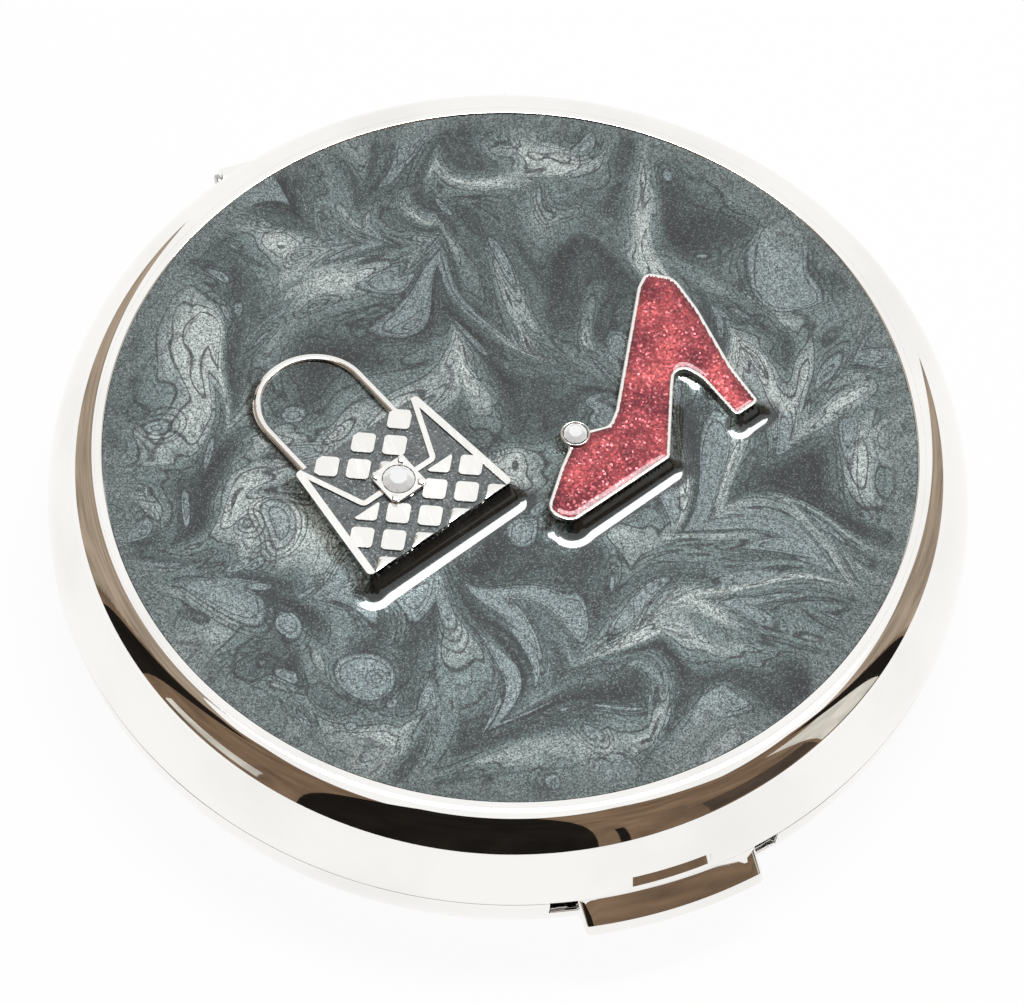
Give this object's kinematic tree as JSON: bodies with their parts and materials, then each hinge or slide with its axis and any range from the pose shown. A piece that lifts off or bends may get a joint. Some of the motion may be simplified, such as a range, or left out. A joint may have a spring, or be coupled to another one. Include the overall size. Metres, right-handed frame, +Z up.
{
  "type": "compact mirror",
  "caption": "Round hinged compact mirror with rounded polished sides, an enamelled lid with a handbag and a shoe charm, twin inner mirrors and a push-button catch.",
  "frame": {"origin": "centre of the flat underside, on the axis of the round case", "axes": "+Z up out of the lid, +Y towards the hinge, so the push button faces -Y; stored closed"},
  "size_m": [0.066, 0.0686, 0.0148],
  "materials": {
    "plated_case": "bright nickel plate over pressed metal",
    "plated_charm": "bright plated casting",
    "plated_frame": "plated pressed ring",
    "marbled_enamel": "poured grey-blue pearl resin, marbled, clear gloss",
    "groove_enamel": "dark grey resin",
    "red_enamel": "crimson glitter resin, domed gloss",
    "crystal": "foil-backed cut crystal",
    "mirror_glass": "silvered glass",
    "foam": "double-sided foam",
    "steel": "bright drawn steel"
  },
  "bodies": {
    "base": {"base_shell": "plated_case", "base_mirror_frame": "plated_frame", "base_mirror_pad": "foam", "base_mirror": "mirror_glass", "base_hinge_knuckles": "plated_case", "hinge_pin": "steel", "button_guides": "steel", "catch_spring": "steel"},
    "lid": {"lid_shell": "plated_case", "lid_mirror_frame": "plated_frame", "lid_mirror_pad": "foam", "lid_mirror": "mirror_glass", "lid_hinge_knuckle": "plated_case", "catch_hook": "steel", "hook_rivets": "steel", "top_plate": "plated_case", "marbled_enamel": "marbled_enamel", "handbag_charm": "plated_charm", "handbag_enamel": "groove_enamel", "handbag_crystal": "crystal", "shoe_charm": "plated_charm", "shoe_enamel": "red_enamel", "shoe_crystal": "crystal"},
    "button": {"push_button": "plated_case"}
  },
  "joints": [
    {"name": "lid_hinge", "type": "hinge", "parent": "base", "child": "lid", "pos_m": [0, 0.0325, 0.0064], "axis": [-1, 0, 0], "range_deg": [0, 130], "deforming": ["catch_spring"]},
    {"name": "button_press", "type": "slide", "parent": "base", "child": "button", "axis": [0, 1, 0], "range_m": [0, 0.0009], "stiffness_N_per_m": 800, "springref_m": -0.0008, "deforming": ["catch_spring"]}
  ]
}
